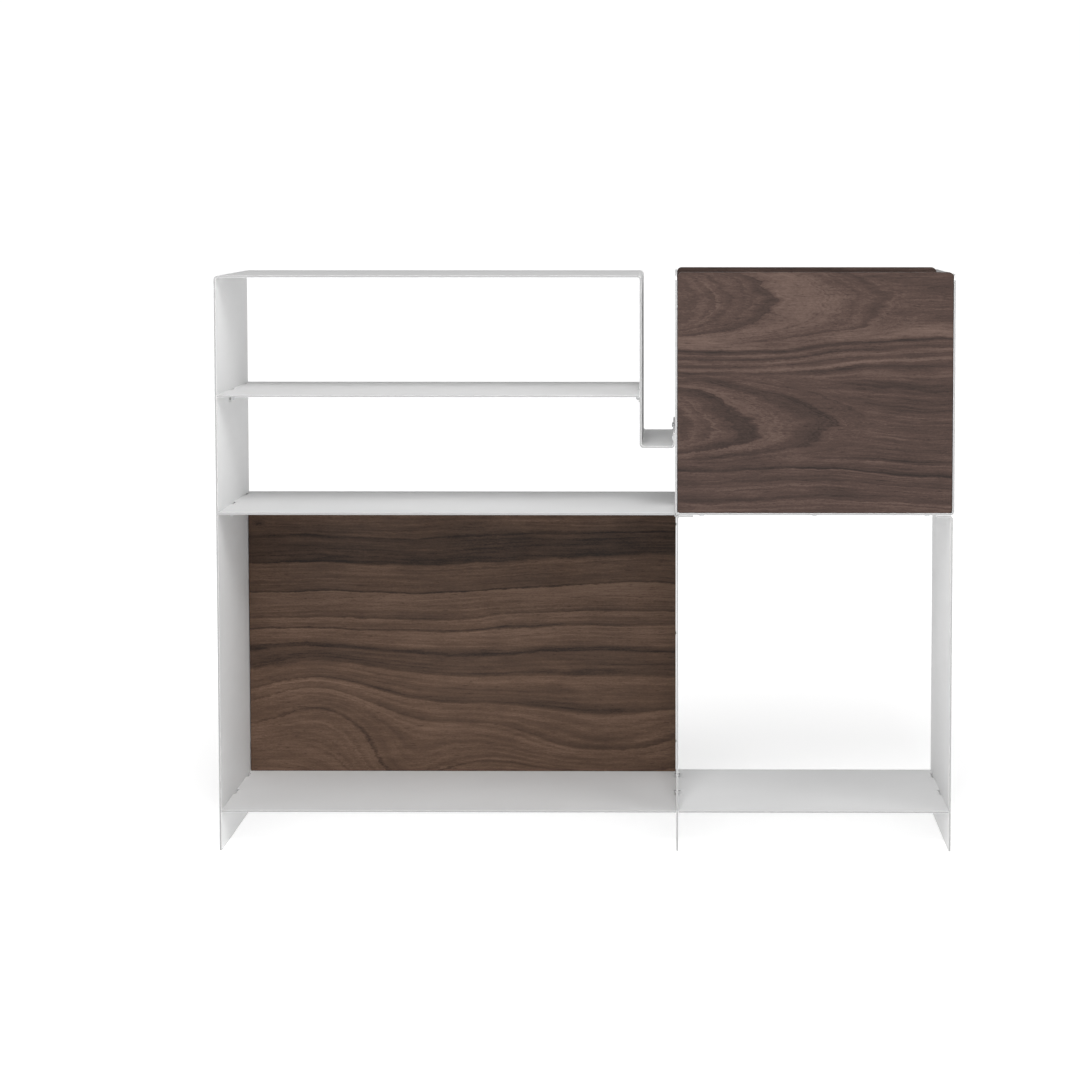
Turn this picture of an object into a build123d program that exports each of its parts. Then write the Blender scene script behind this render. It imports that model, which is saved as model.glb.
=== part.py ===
from build123d import *
import os

# Open storage unit of folded steel sheet, with walnut boards and a walnut-fronted bin.
# Millimetres. X runs left to right along the front, Y runs front to back and Z is up.
# The origin is on the floor, under the middle of the unit's outline.

os.makedirs("parts", exist_ok=True)

# --- Driving sizes: the outline ---
leg_span = 1100.0        # outer face of the left panel to outer face of the right leg
depth = 300.0            # front edge to rear edge of every sheet
foot_height = 59.0       # floor to the underside of the lower shelves
lower_bay = 447.0        # clear height between the lower shelf and the middle shelf
second_bay = 173.0       # clear height between the middle shelf and the upper shelf
top_bay = 175.0          # clear height between the upper shelf and the top shelf
bin_width = 416.5        # over the outer faces of the bin's sides
bin_overhang = 2.0       # how far the bin stands out past the leg panel on each side
bin_side_height = 359.0  # underside of the bin's base to the top of its sides
slot_width = 50.0        # clear width between the drop sheet and the bin
ledge_rise = 97.0        # clear height between the middle shelf and the ledge

# --- Driving sizes: sheet, boards and floor strips ---
sheet = 3.0
bend_inside = 3.0        # inside radius of every fold
flange = 25.0            # width of the folded flanges that carry the bin
ledge_lip = 23.0         # height of the ledge's folded lip, from the ledge's underside
bin_corner = 10.0        # radius of the top corners of the bin's sides
board = 16.0             # thickness of every walnut board
board_inset = 1.0        # board face to the sheet's front or rear edge
board_edge_break = 0.8   # radius along the edges of the boards' faces
bin_board_height = 359.0
bin_front_gap = 0.5      # front board's end to the bin's side
bin_rear_gap = 0.0       # rear board's end to the bin's side
bin_board_top_corner = 7.0
bin_board_bottom_corner = 4.5
back_side_gap = 1.0      # back board end to the panel beside it
back_top_gap = 0.5       # back board to the middle shelf
strip_height = 1.0       # nylon floor strips under the three panels
strip_setback = 2.0      # strip end to the panel's front or rear edge

# --- Driving sizes: shelf tabs ---
tab_width = 30.0
tab_height = 19.0        # from the shelf's top face
tab_hole_drop = 13.0     # screw centre below the shelf's top face
tab_front = 130.0        # first tab's centre behind the front edge
tab_rear = 45.0          # second tab's centre ahead of the rear edge
tab_relief = 1.5         # slot cut beside each tab so that it can be folded
shelf_end_gap = 0.2      # middle shelf's plain end to the bin's side

# --- Driving sizes: fasteners ---
m4 = 2.0                 # shank radii
m5 = 2.5
hole_clearance = 0.25    # radial clearance of a screw in a sheet
thread_clearance = 0.02  # radial clearance of a screw in its nut or in a board
head_ratio = 2.0         # head radius over shank radius
pan_height = 2.3
key_depth = 1.2
key_ratio = 0.62         # hexagon socket's corner radius over shank radius
nut_height_ratio = 1.6   # over shank radius
nut_radius_ratio = 2.0   # corner radius over shank radius
nut_end = 1.0            # how far a machine screw stands out of its nut
board_screw_length = 28.0
ledge_screw_inset = 30.0
bin_mount_inset = 70.0   # bin mounting screws, from the front and rear edges
bin_base_screw_end = 37.0   # outer screws of the bin's base, from the inside of its sides
bin_side_screw_low = 50.0   # above the top of the bin's base
bin_side_screw_high = 48.0  # below the top of the bin's sides
back_screw_end = 48.0    # outer screws of the back board, from its lower and upper edges

# --- Places worked out from the sizes ---
half_depth = depth / 2
bend_middle = bend_inside + sheet / 2
x_left = -(leg_span + bin_overhang) / 2
x_right = x_left + leg_span
bin_right = x_right + bin_overhang
bin_left = bin_right - bin_width
x_centre = bin_left + bin_overhang
bin_middle = (bin_left + bin_right) / 2
drop_face = bin_left - slot_width

lower_level = foot_height + sheet
middle_level = lower_level + lower_bay + sheet
upper_level = middle_level + second_bay + sheet
top_level = upper_level + top_bay + sheet
ledge_level = middle_level + ledge_rise + sheet
leg_top = middle_level - sheet
bin_floor = middle_level
bin_top = leg_top + bin_side_height

tab_places = (-half_depth + tab_front, half_depth - tab_rear)
front_board_y = -half_depth + board_inset + board / 2
rear_board_y = half_depth - board_inset - board / 2


def block(low, high):
    """A box between two corners."""
    size = [b - a for a, b in zip(low, high)]
    middle = [(a + b) / 2 for a, b in zip(low, high)]
    return Pos(*middle) * Box(*size)


def folded(points, width):
    """A folded sheet: its middle line is given as X, Z points, and its width lies along Y."""
    line = FilletPolyline(*points, radius=bend_middle)
    outline = Plane.XZ * trace(line, line_width=sheet)
    return extrude(outline, amount=width / 2, both=True)


def facing(place, direction):
    """A location whose own Z axis points along an X or Z direction, such as '+X'."""
    turns = {"+X": (0, 90, 0), "-X": (0, -90, 0), "+Z": (0, 0, 0), "-Z": (180, 0, 0)}
    return Location(place, turns[direction])


def tapered(radius_low, radius_high, low, high):
    """A cone or cylinder about Z between two heights."""
    height = high - low
    middle = Pos(0, 0, (low + high) / 2)
    if radius_low == radius_high:
        return middle * Cylinder(radius_low, height)
    return middle * Cone(radius_low, radius_high, height)


def key_socket(shank, top):
    """The hexagon socket of a screw, cut down from the top of its head."""
    hexagon = RegularPolygon(shank * key_ratio * 2, 6)
    return Pos(0, 0, top - key_depth) * extrude(hexagon, amount=key_depth)


def shank_solid(shank, top, length, pointed):
    """The shank of a screw, down to its end, which is pointed on a board screw."""
    if not pointed:
        return tapered(shank, shank, -length, top)
    point = 2 * shank
    return tapered(shank, shank, -length + point, top) + tapered(shank / 5, shank, -length, -length + point)


def flat_screw(shank, length, pointed=False):
    """A countersunk screw: its head's face is at Z 0 and its shank runs down."""
    head = shank * head_ratio
    cone = tapered(shank, head, shank - head, 0)
    return cone + shank_solid(shank, shank - head, length, pointed) - key_socket(shank, 0)


def pan_screw(shank, length, pointed=False):
    """A raised-head screw: it seats at Z 0, its head is above and its shank runs down."""
    head = tapered(shank * head_ratio, shank * head_ratio, 0, pan_height)
    head = fillet(head.edges().group_by(Axis.Z)[-1], pan_height * 0.6)
    return head + shank_solid(shank, 0, length, pointed) - key_socket(shank, pan_height)


def nut(shank):
    """A hexagon nut that seats at Z 0 and lies above it."""
    height = shank * nut_height_ratio
    prism = extrude(RegularPolygon(shank * nut_radius_ratio, 6), amount=height)
    return prism - tapered(shank + thread_clearance, shank + thread_clearance, -1, height + 1)


def through_hole(shank, length):
    """What a screw's hole takes out of sheets, down from Z 0."""
    return tapered(shank + hole_clearance, shank + hole_clearance, -length, 1)


def flat_hole(shank, length):
    """A countersunk hole for a flat screw whose face is at Z 0."""
    head = shank * head_ratio
    cone = tapered(shank + thread_clearance, head + thread_clearance, shank - head, 0)
    return cone + through_hole(shank, length) + tapered(head, head, 0, 1)


def pilot_hole(shank, top, length):
    """The hole that a board screw fills, down from a height in its own axes."""
    return tapered(shank + thread_clearance, shank + thread_clearance, -length, top)


def cut(shape, tool, places):
    """Cut one tool out of a shape at several places."""
    for place in places:
        shape = shape - place * tool
    return shape


def group(shape, places):
    """Separate copies of one fastener, as one node."""
    return Compound(children=[place * shape for place in places])


def save(name, shape):
    export_step(shape, f"parts/{name}.step")


def bolt_length(grip, shank):
    """A machine screw's length through sheets and its nut."""
    return grip + shank * nut_height_ratio + nut_end


def tab_screw_places(x, level, direction):
    """Where the screws of one shelf end sit, on the face at x."""
    return [facing((x, y, level - tab_hole_drop), direction) for y in tab_places]


# --- Screw places ---
grip = 2 * sheet
joint_screw = flat_screw(m4, bolt_length(grip, m4))
joint_hole = flat_hole(m4, grip + 1)
joint_nut = nut(m4)

upper_screws = tab_screw_places(x_left, upper_level, "-X") + tab_screw_places(drop_face, upper_level, "+X")
upper_nuts = (tab_screw_places(x_left + grip, upper_level, "+X")
              + tab_screw_places(drop_face - grip, upper_level, "-X"))
middle_screws = (tab_screw_places(x_left, middle_level, "-X")
                 + tab_screw_places(x_centre + sheet, middle_level, "+X"))
middle_nuts = (tab_screw_places(x_left + grip, middle_level, "+X")
               + tab_screw_places(x_centre - sheet, middle_level, "-X"))
lower_screws = (tab_screw_places(x_left, lower_level, "-X")
                + tab_screw_places(x_right, lower_level, "+X"))
lower_nuts = (tab_screw_places(x_left + grip, lower_level, "+X")
              + tab_screw_places(x_right - grip, lower_level, "-X"))
shared_screws = tab_screw_places(x_centre - sheet, lower_level, "-X")
shared_nuts = tab_screw_places(x_centre + grip, lower_level, "+X")
shared_grip = 3 * sheet

ledge_screw_z = ledge_level - sheet + ledge_lip / 2 + bend_inside / 2
ledge_places = [facing((bin_left - sheet, side * (half_depth - ledge_screw_inset), ledge_screw_z), "-X")
                for side in (-1, 1)]
ledge_nut_places = [facing((bin_left + sheet, side * (half_depth - ledge_screw_inset), ledge_screw_z), "+X")
                    for side in (-1, 1)]

mount_x = (x_centre + flange * 0.62, x_right - flange * 0.62)
mount_y = (-half_depth + bin_mount_inset, half_depth - bin_mount_inset)
bin_mounts = [facing((x, y, bin_floor), "+Z") for x in mount_x for y in mount_y]
bin_mount_nuts = [facing((x, y, leg_top - sheet), "-Z") for x in mount_x for y in mount_y]

base_screw_reach = bin_width / 2 - sheet - bin_base_screw_end
base_screw_x = (bin_middle - base_screw_reach, bin_middle, bin_middle + base_screw_reach)
side_screw_z = (bin_floor + bin_side_screw_low, bin_top - bin_side_screw_high)


def base_screws(y):
    """Screws that come up through the bin's base into one board."""
    return [facing((x, y, leg_top), "-Z") for x in base_screw_x]


def side_screws(y):
    """Screws through the bin's two sides into the ends of one board."""
    left = [facing((bin_left, y, z), "-X") for z in side_screw_z]
    return left + [facing((bin_right, y, z), "+X") for z in side_screw_z]


back_low = lower_level
back_high = middle_level - sheet - back_top_gap
back_screw_z = (back_low + back_screw_end, (back_low + back_high) / 2, back_high - back_screw_end)
back_left_screws = [facing((x_left, rear_board_y, z), "-X") for z in back_screw_z]
back_right_screws = [facing((x_centre + sheet, rear_board_y, z), "+X") for z in back_screw_z]
board_hole = flat_hole(m4, sheet + 1)


# --- Sheets ---
def side_and_top():
    """Left panel, top shelf, drop sheet and ledge, folded from one sheet."""
    side = x_left + sheet / 2
    top = top_level - sheet / 2
    drop = drop_face - sheet / 2
    ledge = ledge_level - sheet / 2
    lip = bin_left - sheet / 2
    points = [(side, strip_height), (side, top), (drop, top), (drop, ledge), (lip, ledge),
              (lip, ledge_level - sheet + ledge_lip)]
    shape = folded(points, depth)
    shape = cut(shape, joint_hole, upper_screws + middle_screws[:2] + lower_screws[:2])
    shape = cut(shape, board_hole, back_left_screws)
    return cut(shape, through_hole(m4, grip + 1), ledge_places)


def leg_panel(outer, direction):
    """A leg panel with a flange folded over at its top; direction says which way the flange goes."""
    middle = outer + direction * sheet / 2
    tip = outer + direction * flange
    points = [(middle, strip_height), (middle, leg_top - sheet / 2), (tip, leg_top - sheet / 2)]
    shape = folded(points, depth)
    return cut(shape, through_hole(m5, grip + 1), bin_mounts)


def shelf(left, right, level, screws, plain_right=None):
    """A flat shelf with two folded-down tabs at each end, which screw to the panels beside it."""
    end = right if plain_right is None else plain_right
    shape = block((left, -half_depth, level - sheet), (end, half_depth, level))
    notch = bend_inside + 2 * sheet
    for y in tab_places:
        slot = tab_width / 2 + tab_relief
        shape -= block((left - 1, y - slot, level - 2 * sheet), (left + notch, y + slot, level + 1))
        shape -= block((right - notch, y - slot, level - 2 * sheet), (right + 1, y + slot, level + 1))
        for edge, inward in ((left, 1), (right, -1)):
            tab_line = [(edge + inward * (notch + 1), level - sheet / 2),
                        (edge + inward * sheet / 2, level - sheet / 2),
                        (edge + inward * sheet / 2, level - tab_height)]
            shape += Pos(0, y, 0) * folded(tab_line, tab_width)
    return cut(shape, through_hole(m4, 4 * sheet), screws)


def bin_sheet():
    """The bin's base and two sides, folded as one U."""
    base = leg_top + sheet / 2
    left = bin_left + sheet / 2
    right = bin_right - sheet / 2
    shape = folded([(left, bin_top), (left, base), (right, base), (right, bin_top)], depth)
    corners = shape.edges().filter_by(Axis.X).group_by(Axis.Z)[-1]
    shape = fillet(corners, bin_corner)
    shape = cut(shape, flat_hole(m5, grip + 1), bin_mounts)
    shape = cut(shape, through_hole(m4, sheet + 1), base_screws(front_board_y) + base_screws(rear_board_y))
    shape = cut(shape, board_hole, side_screws(front_board_y) + side_screws(rear_board_y))
    return cut(shape, through_hole(m4, grip + 1), ledge_places)


# --- Boards ---
def bin_board(y, gap):
    """A front or rear board of the bin, with rounded corners and eased edges."""
    half = bin_width / 2 - sheet - gap
    middle_z = bin_floor + bin_board_height / 2
    outline = Rectangle(2 * half, bin_board_height)
    corners = outline.vertices().group_by(Axis.Y)
    outline = fillet(corners[-1], bin_board_top_corner)
    outline = fillet(outline.vertices().group_by(Axis.Y)[0], bin_board_bottom_corner)
    face = Plane((bin_middle, y, middle_z), x_dir=(1, 0, 0), z_dir=(0, -1, 0)) * outline
    shape = extrude(face, amount=board / 2, both=True)
    rims = shape.faces().filter_by(Axis.Y).edges()
    shape = fillet(rims, board_edge_break)
    shape = cut(shape, pilot_hole(m4, 0, board_screw_length), base_screws(y))
    return cut(shape, pilot_hole(m4, 0, board_screw_length), side_screws(y))


def back_board():
    """The board that closes the back of the lower left bay."""
    left = x_left + sheet + back_side_gap
    right = x_centre - back_side_gap
    shape = block((left, rear_board_y - board / 2, back_low), (right, rear_board_y + board / 2, back_high))
    rims = shape.faces().filter_by(Axis.Y).edges()
    shape = fillet(rims, board_edge_break)
    return cut(shape, pilot_hole(m4, 0, board_screw_length), back_left_screws + back_right_screws)


def floor_strip(outer, direction):
    """A nylon strip under one panel."""
    inner = outer + direction * sheet
    end = half_depth - strip_setback
    return block((min(outer, inner), -end, 0), (max(outer, inner), end, strip_height))


centre_leg = leg_panel(x_centre, 1)
centre_leg = cut(centre_leg, joint_hole, middle_screws[2:])
centre_leg = cut(centre_leg, through_hole(m4, 4 * sheet), shared_screws)
centre_leg = cut(centre_leg, board_hole, back_right_screws)
right_leg = cut(leg_panel(x_right, -1), joint_hole, lower_screws[2:])

save("side_top_sheet", side_and_top())
save("centre_leg_panel", centre_leg)
save("right_leg_panel", right_leg)
save("upper_shelf", shelf(x_left + sheet, drop_face - sheet, upper_level, upper_screws))
save("middle_shelf", shelf(x_left + sheet, x_centre, middle_level, middle_screws,
                           plain_right=bin_left - shelf_end_gap))
save("lower_shelf_left", shelf(x_left + sheet, x_centre, lower_level, lower_screws[:2] + shared_screws))
save("lower_shelf_right", shelf(x_centre + sheet, x_right - sheet, lower_level,
                                lower_screws[2:] + shared_nuts))
save("bin_shell", bin_sheet())
save("bin_front_panel", bin_board(front_board_y, bin_front_gap))
save("bin_rear_panel", bin_board(rear_board_y, bin_rear_gap))
save("back_panel", back_board())
save("left_floor_strip", floor_strip(x_left, 1))
save("centre_floor_strip", floor_strip(x_centre, 1))
save("right_floor_strip", floor_strip(x_right, -1))

# --- Fasteners, one node for each set of identical ones ---
save("upper_shelf_screws", group(joint_screw, upper_screws))
save("upper_shelf_nuts", group(joint_nut, upper_nuts))
save("middle_shelf_screws", group(joint_screw, middle_screws))
save("middle_shelf_nuts", group(joint_nut, middle_nuts))
save("lower_shelf_end_screws", group(joint_screw, lower_screws))
save("lower_shelf_end_nuts", group(joint_nut, lower_nuts))
save("lower_shelf_centre_screws", group(pan_screw(m4, bolt_length(shared_grip, m4)), shared_screws))
save("lower_shelf_centre_nuts", group(joint_nut, shared_nuts))
save("ledge_screws", group(pan_screw(m4, bolt_length(grip, m4)), ledge_places))
save("ledge_nuts", group(joint_nut, ledge_nut_places))
save("bin_mount_screws", group(flat_screw(m5, bolt_length(grip, m5)), bin_mounts))
save("bin_mount_nuts", group(nut(m5), bin_mount_nuts))
save("bin_front_base_screws", group(pan_screw(m4, board_screw_length, True), base_screws(front_board_y)))
save("bin_rear_base_screws", group(pan_screw(m4, board_screw_length, True), base_screws(rear_board_y)))
save("bin_front_side_screws", group(flat_screw(m4, board_screw_length, True), side_screws(front_board_y)))
save("bin_rear_side_screws", group(flat_screw(m4, board_screw_length, True), side_screws(rear_board_y)))
save("back_panel_left_screws", group(flat_screw(m4, board_screw_length, True), back_left_screws))
save("back_panel_right_screws", group(flat_screw(m4, board_screw_length, True), back_right_screws))
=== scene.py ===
"""Looks of a folded-steel storage unit with walnut boards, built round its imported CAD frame.

Metres throughout, in the frame's own axes: X to the right along the front, Y from front to back, Z up.
"""

import itertools
import logging
import math
from dataclasses import dataclass, field
from enum import Enum
from typing import Callable

import bpy
from mathutils import Matrix, Vector

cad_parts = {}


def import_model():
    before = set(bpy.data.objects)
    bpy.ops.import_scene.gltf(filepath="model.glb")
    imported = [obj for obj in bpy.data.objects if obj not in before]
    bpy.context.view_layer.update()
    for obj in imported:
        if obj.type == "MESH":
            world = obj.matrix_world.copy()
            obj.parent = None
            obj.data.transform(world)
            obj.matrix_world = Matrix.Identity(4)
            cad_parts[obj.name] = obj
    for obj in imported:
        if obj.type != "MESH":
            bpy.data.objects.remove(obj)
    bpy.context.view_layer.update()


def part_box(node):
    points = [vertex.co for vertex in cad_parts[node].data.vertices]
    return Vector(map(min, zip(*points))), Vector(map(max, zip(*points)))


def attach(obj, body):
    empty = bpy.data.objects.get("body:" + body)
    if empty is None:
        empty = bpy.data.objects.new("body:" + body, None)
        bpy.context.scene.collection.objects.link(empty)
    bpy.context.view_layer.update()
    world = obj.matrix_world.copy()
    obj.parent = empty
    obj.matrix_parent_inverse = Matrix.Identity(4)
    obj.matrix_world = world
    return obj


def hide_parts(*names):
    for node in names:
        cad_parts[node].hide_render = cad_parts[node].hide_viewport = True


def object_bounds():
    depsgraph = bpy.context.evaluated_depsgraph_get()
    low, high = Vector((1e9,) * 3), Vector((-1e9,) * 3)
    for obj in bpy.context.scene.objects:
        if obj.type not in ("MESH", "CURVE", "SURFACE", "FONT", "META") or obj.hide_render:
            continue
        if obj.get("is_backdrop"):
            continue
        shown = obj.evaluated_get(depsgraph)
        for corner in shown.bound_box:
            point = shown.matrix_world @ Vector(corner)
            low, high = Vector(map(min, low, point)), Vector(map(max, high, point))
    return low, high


log = logging.getLogger("storage_unit")

MM = 0.001
QUARTER_TURN = math.pi / 2
ROOT_BODY = "root"
SMOOTH_ANGLE = math.radians(35)
ALIGNED = 0.99
TOUCHING = 0.05 * MM
FLUSH = 1.0 * MM
NO_LIMIT = 1e6
WHITE = (1.0, 1.0, 1.0, 1.0)

Colour = tuple[float, float, float]
Point = tuple[float, float]
Bands = tuple[Point, ...]
Softbox = tuple[float, float, float, float]
Piece = bpy.types.Object
Material = bpy.types.Material
Tree = bpy.types.NodeTree
Node = bpy.types.Node
Socket = bpy.types.NodeSocket

SHELF_SCREWS = ("upper_shelf_screws", "middle_shelf_screws", "lower_shelf_end_screws")
SHELF_NUTS = ("upper_shelf_nuts", "middle_shelf_nuts", "lower_shelf_end_nuts")
BASE_SCREWS = ("bin_front_base_screws", "bin_rear_base_screws")
SIDE_SCREWS = ("bin_front_side_screws", "bin_rear_side_screws")

# How many fasteners each CAD node has along X, Y and Z.
COUNTS: dict[str, tuple[int, int, int]] = {
    **dict.fromkeys((*SHELF_SCREWS, *SHELF_NUTS, "bin_mount_screws", "bin_mount_nuts"), (2, 2, 1)),
    **dict.fromkeys(("ledge_screws", "ledge_nuts"), (1, 2, 1)),
    **dict.fromkeys(("lower_shelf_centre_screws", "lower_shelf_centre_nuts"), (1, 2, 1)),
    **dict.fromkeys(("back_panel_left_screws", "back_panel_right_screws"), (1, 1, 3)),
    **dict.fromkeys(BASE_SCREWS, (3, 1, 1)),
    **dict.fromkeys(SIDE_SCREWS, (2, 1, 2)),
}


class Part(Enum):
    """What of a mesh is selected."""

    VERT = "VERT"
    EDGE = "EDGE"
    FACE = "FACE"


class Facing(Enum):
    """Which way a fastener's head points: its turns about X and Y from upright."""

    LEFT = (0, -QUARTER_TURN)
    RIGHT = (0, QUARTER_TURN)
    UP = (0, 0)
    DOWN = (math.pi, 0)


class Slot(Enum):
    """Material slots of the record."""

    STEEL = "powder_coat"
    WOOD = "walnut"
    ZINC = "zinc_steel"
    NYLON = "floor_strip"


# ---- Modelling by operators ----


def only(piece: Piece) -> None:
    """Select one object and make it active."""
    bpy.ops.object.select_all(action="DESELECT")
    piece.select_set(True)
    bpy.context.view_layer.objects.active = piece


def added(name: str) -> Piece:
    """Name the primitive that was just added and return it."""
    piece = bpy.context.active_object
    piece.name = name
    piece.data.name = name
    return piece


def pick(piece: Piece, part: Part, test: Callable[[Vector, Vector], bool]) -> int:
    """Select the vertices, edges or faces that pass a test, and stay in edit mode.

    Args:
        piece: The mesh object.
        part: What to select.
        test: Takes a vertex and its normal, an edge's middle and direction, or a face's middle and normal.

    Returns:
        How many were selected.
    """
    only(piece)
    bpy.ops.object.mode_set(mode="EDIT")
    bpy.ops.mesh.select_mode(type=part.value)
    bpy.ops.mesh.select_all(action="DESELECT")
    bpy.ops.object.mode_set(mode="OBJECT")
    mesh = piece.data
    count = 0
    if part is Part.FACE:
        found = [(face, face.center, face.normal) for face in mesh.polygons]
    elif part is Part.VERT:
        found = [(vertex, vertex.co, vertex.normal) for vertex in mesh.vertices]
    else:
        found = []
        for edge in mesh.edges:
            a, b = (mesh.vertices[i].co for i in edge.vertices)
            found.append((edge, (a + b) / 2, (b - a).normalized()))
    for element, middle, direction in found:
        if test(middle, direction):
            element.select = True
            count += 1
    bpy.ops.object.mode_set(mode="EDIT")
    return count


def everything(piece: Piece) -> None:
    """Select the whole mesh of a piece, and stay in edit mode."""
    only(piece)
    bpy.ops.object.mode_set(mode="EDIT")
    bpy.ops.mesh.select_all(action="SELECT")


def leave() -> None:
    """Go back to object mode."""
    bpy.ops.object.mode_set(mode="OBJECT")


def rounded(radius: float, steps: int, affect: str = "EDGES") -> None:
    """Round what is selected and go back to object mode."""
    bpy.ops.mesh.bevel(offset=radius, segments=steps, affect=affect)
    leave()


def same(a: float, b: float) -> bool:
    """Whether two coordinates are the same but for rounding."""
    return abs(a - b) < TOUCHING


def near(a: Vector, b: Vector) -> bool:
    """Whether two points share an X and a Z."""
    return same(a.x, b.x) and same(a.z, b.z)


def endways(way: Vector) -> bool:
    """Whether an edge or a normal runs from front to back."""
    return abs(way.y) > ALIGNED


def outward(piece: Piece) -> None:
    """Turn every face outwards."""
    everything(piece)
    bpy.ops.mesh.normals_make_consistent(inside=False)
    leave()


def extrude(step: Vector) -> None:
    """Extrude what is selected by a step."""
    bpy.ops.mesh.extrude_region_move(TRANSFORM_OT_translate={"value": tuple(step)})


def settle(piece: Piece) -> None:
    """Put the object's place into its mesh, so that the object sits at the origin."""
    only(piece)
    bpy.ops.object.transform_apply(location=True, rotation=True, scale=True)


def modified(piece: Piece, kind: str, **settings: object) -> None:
    """Add a modifier with its settings and apply it."""
    modifier = piece.modifiers.new(kind.lower(), kind)
    for name, value in settings.items():
        setattr(modifier, name, value)
    only(piece)
    bpy.ops.object.modifier_apply(modifier=modifier.name)


def carved(piece: Piece, tool: Piece, operation: str = "DIFFERENCE") -> None:
    """Cut a piece with a tool, or keep only what both hold, and throw the tool away."""
    modified(piece, "BOOLEAN", object=tool, operation=operation, solver="EXACT")
    bpy.data.objects.remove(tool)


def eased(piece: Piece, radius: float, segments: int = 3) -> None:
    """Round every sharp edge a little. The new faces go to material 1, which rims() reads."""
    modified(piece, "BEVEL", width=radius, segments=segments, limit_method="ANGLE",
             angle_limit=math.radians(50), material=1, use_clamp_overlap=True)


def rims(piece: Piece, cut_edges: bool) -> None:
    """Write 1 to the rim attribute on rounded edges and a sheet's cut front and rear edges, or else 0. The
    coat paints shade there, the walnut a highlight and the nylon wear.
    """
    mesh = piece.data
    attribute = mesh.attributes.new("rim", "FLOAT", "CORNER")
    for face in mesh.polygons:
        edge = face.material_index == 1 or (cut_edges and endways(face.normal))
        for corner in face.loop_indices:
            attribute.data[corner].value = float(edge)
        face.material_index = 0


def shaded(piece: Piece) -> None:
    """Smooth the rounded edges and keep the flats flat."""
    only(piece)
    bpy.ops.object.shade_smooth_by_angle(angle=SMOOTH_ANGLE)
    modified(piece, "WEIGHTED_NORMAL", mode="FACE_AREA", weight=50, keep_sharp=True)


def joined(name: str, pieces: list[Piece]) -> Piece:
    """Join several objects into one."""
    bpy.ops.object.select_all(action="DESELECT")
    for piece in pieces:
        piece.select_set(True)
    bpy.context.view_layer.objects.active = pieces[0]
    if len(pieces) > 1:
        bpy.ops.object.join()
    return added(name)


def copied(pattern: Piece, place: Matrix) -> Piece:
    """Copy an object with its own mesh, moved to a place."""
    twin = pattern.copy()
    twin.data = pattern.data.copy()
    bpy.context.scene.collection.objects.link(twin)
    twin.data.transform(place)
    return twin


def turned(name: str, profile: list[Point], steps: int) -> Piece:
    """A solid of revolution about Z, drawn out ring by ring from a circle.

    Args:
        name: The new object's name.
        profile: Radius and height of each ring, from the lowest end to the highest.
        steps: Points round each ring.

    Returns:
        The closed solid.
    """
    radius, height = profile[0]
    bpy.ops.mesh.primitive_circle_add(vertices=steps, radius=radius, fill_type="NGON",
                                      location=(0, 0, height))
    piece = added(name)
    settle(piece)
    everything(piece)
    for (old_radius, old_height), (new_radius, new_height) in itertools.pairwise(profile):
        extrude(Vector((0, 0, new_height - old_height)))
        ratio = new_radius / old_radius
        bpy.ops.transform.resize(value=(ratio, ratio, 1), center_override=(0, 0, new_height))
    leave()
    outward(piece)
    return piece


def prism(name: str, radius: float, low: float, high: float, sides: int = 6) -> Piece:
    """An upright prism about Z, used as a tool or as a start."""
    bpy.ops.mesh.primitive_cylinder_add(vertices=sides, radius=radius, depth=high - low,
                                        location=(0, 0, (low + high) / 2))
    piece = added(name)
    settle(piece)
    return piece


def block(name: str, low: Vector, high: Vector) -> Piece:
    """A box between two corners."""
    bpy.ops.mesh.primitive_cube_add(size=1, location=(low + high) / 2)
    piece = added(name)
    piece.scale = high - low
    settle(piece)
    return piece


# ---- Shader wiring ----


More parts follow.
